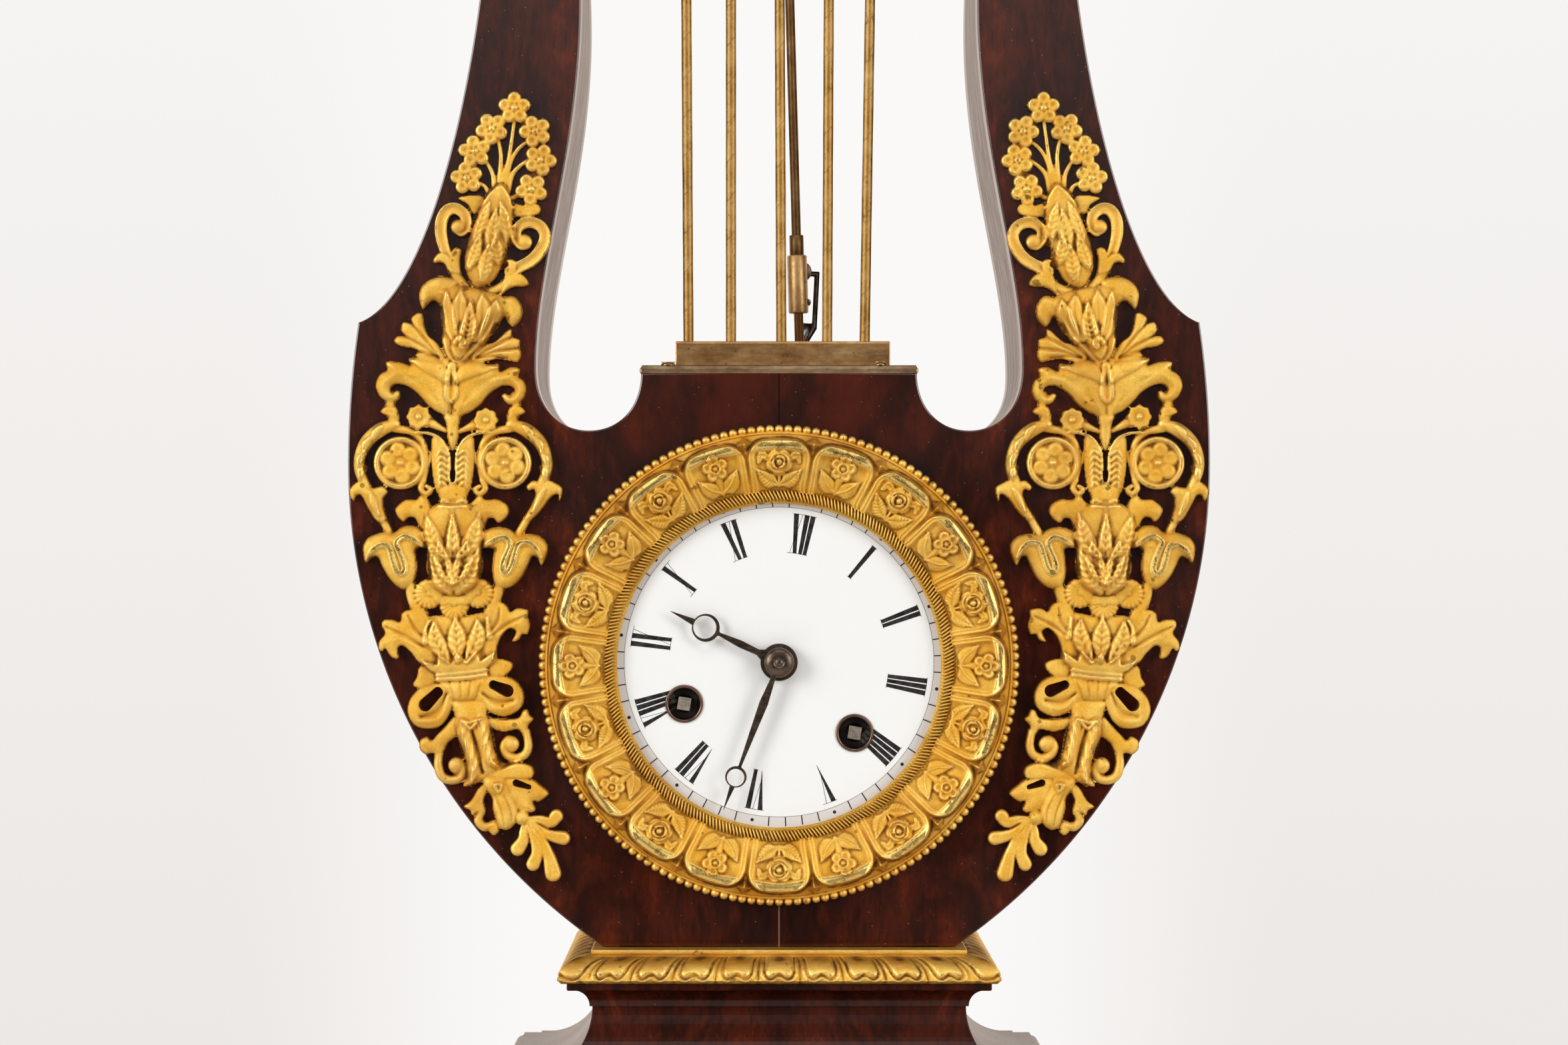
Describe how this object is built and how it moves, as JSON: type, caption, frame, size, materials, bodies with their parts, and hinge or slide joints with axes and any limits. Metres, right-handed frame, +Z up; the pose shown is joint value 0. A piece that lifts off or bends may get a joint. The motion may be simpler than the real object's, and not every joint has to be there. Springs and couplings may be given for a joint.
{
  "type": "lyre clock",
  "caption": "Lyre-shaped mahogany mantel clock with gilt bronze mounts, leafy bezel, enamel dial, brass strings and a pendulum hung behind them, on a moulded base.",
  "frame": {"origin": "on the ground under the middle of the base", "axes": "+Z up, +X to the right of a viewer facing the dial, -Y the way the dial faces"},
  "size_m": [0.2588, 0.15, 0.5337],
  "materials": {
    "mahogany": "dark figured veneer with a glossy French polish",
    "gilt_bronze": "matt fire gilding with burnished high places",
    "old_brass": "aged brass with brown mottling",
    "movement_brass": "brushed brass",
    "enamel": "white fired enamel with black numerals",
    "dark_steel": "browned steel"
  },
  "bodies": {
    "case": {"foot_front_left": "mahogany", "foot_front_right": "mahogany", "foot_back_left": "mahogany", "foot_back_right": "mahogany", "plinth": "mahogany", "pedestal": "mahogany", "cavetto": "mahogany", "leaf_frame": "gilt_bronze", "front_left": "mahogany", "front_right": "mahogany", "core_left": "mahogany", "core_right": "mahogany", "back_board": "mahogany", "mount_left": "gilt_bronze", "mount_right": "gilt_bronze", "rosette_left": "gilt_bronze", "rosette_right": "gilt_bronze", "neck_cover": "old_brass", "string_block": "old_brass", "string_1": "old_brass", "string_2": "old_brass", "string_3": "old_brass", "string_4": "old_brass", "string_5": "old_brass", "yoke": "gilt_bronze", "suspension_bar": "old_brass", "bezel": "gilt_bronze", "dial": "enamel", "eyelet_left": "movement_brass", "eyelet_right": "movement_brass", "front_plate": "movement_brass", "back_plate": "movement_brass", "going_barrel": "movement_brass", "strike_barrel": "movement_brass", "middle_wheel": "movement_brass", "centre_wheel": "movement_brass", "third_wheel": "movement_brass", "escape_wheel": "movement_brass", "back_cock": "movement_brass", "pin_wheel": "movement_brass", "fly": "movement_brass", "count_wheel": "movement_brass", "bell": "movement_brass", "bell_stand": "dark_steel", "rear_ring": "old_brass"},
    "minute": {"minute_hand": "dark_steel", "collet": "dark_steel", "cannon_pinion": "dark_steel"},
    "hour": {"hour_hand": "dark_steel", "hour_wheel": "movement_brass"},
    "minute_work": {"minute_wheel": "movement_brass"},
    "going_winder": {"going_arbor": "dark_steel"},
    "strike_winder": {"strike_arbor": "dark_steel"},
    "pendulum": {"pendulum_rod": "old_brass", "bob": "old_brass"},
    "nut": {"rating_nut": "old_brass"},
    "escapement": {"anchor": "dark_steel", "crutch": "dark_steel"},
    "striker": {"hammer": "dark_steel"},
    "back_door": {"door": "old_brass"}
  },
  "joints": [
    {"name": "pendulum_swing", "type": "hinge", "parent": "case", "child": "pendulum", "pos_m": [0, 0.012, 0.515], "axis": [0, 1, 0], "range_deg": [0, 3.2]},
    {"name": "crutch_swing", "type": "hinge", "parent": "case", "child": "escapement", "pos_m": [0.00522, 0.012, 0.20786], "axis": [0, 1, 0], "range_deg": [-9.09, 0.1]},
    {"name": "minute_turn", "type": "hinge", "parent": "case", "child": "minute", "pos_m": [0, -0.039, 0.1773], "axis": [0, 1, 0], "continuous": true},
    {"name": "minute_work_turn", "type": "hinge", "parent": "case", "child": "minute_work", "pos_m": [-0.005, -0.033, 0.19081], "axis": [0, 1, 0], "continuous": true},
    {"name": "hour_turn", "type": "hinge", "parent": "case", "child": "hour", "pos_m": [0, -0.039, 0.1773], "axis": [0, 1, 0], "continuous": true},
    {"name": "going_wind", "type": "hinge", "parent": "case", "child": "going_winder", "pos_m": [0.02265, -0.03, 0.15608], "axis": [0, 1, 0], "continuous": true},
    {"name": "strike_wind", "type": "hinge", "parent": "case", "child": "strike_winder", "pos_m": [-0.02841, -0.03, 0.16481], "axis": [0, 1, 0], "continuous": true},
    {"name": "hammer_swing", "type": "hinge", "parent": "case", "child": "striker", "pos_m": [-0.03886, 0.01, 0.16365], "axis": [0, 1, 0], "range_deg": [-10, 3]},
    {"name": "door_hinge", "type": "hinge", "parent": "case", "child": "back_door", "pos_m": [0.068, 0.0426, 0.1763], "axis": [0, 0, -1], "range_deg": [0, 110]},
    {"name": "nut_turn", "type": "hinge", "parent": "pendulum", "child": "nut", "pos_m": [0.01135, 0.012, 0.10866], "axis": [-0.0279, 0, 0.9996], "continuous": true}
  ],
  "couplings": [
    {"joint": "crutch_swing", "follows": "pendulum_swing", "ratio": -2.81},
    {"joint": "minute_work_turn", "follows": "minute_turn", "ratio": -0.33333},
    {"joint": "hour_turn", "follows": "minute_turn", "ratio": 0.083333}
  ]
}
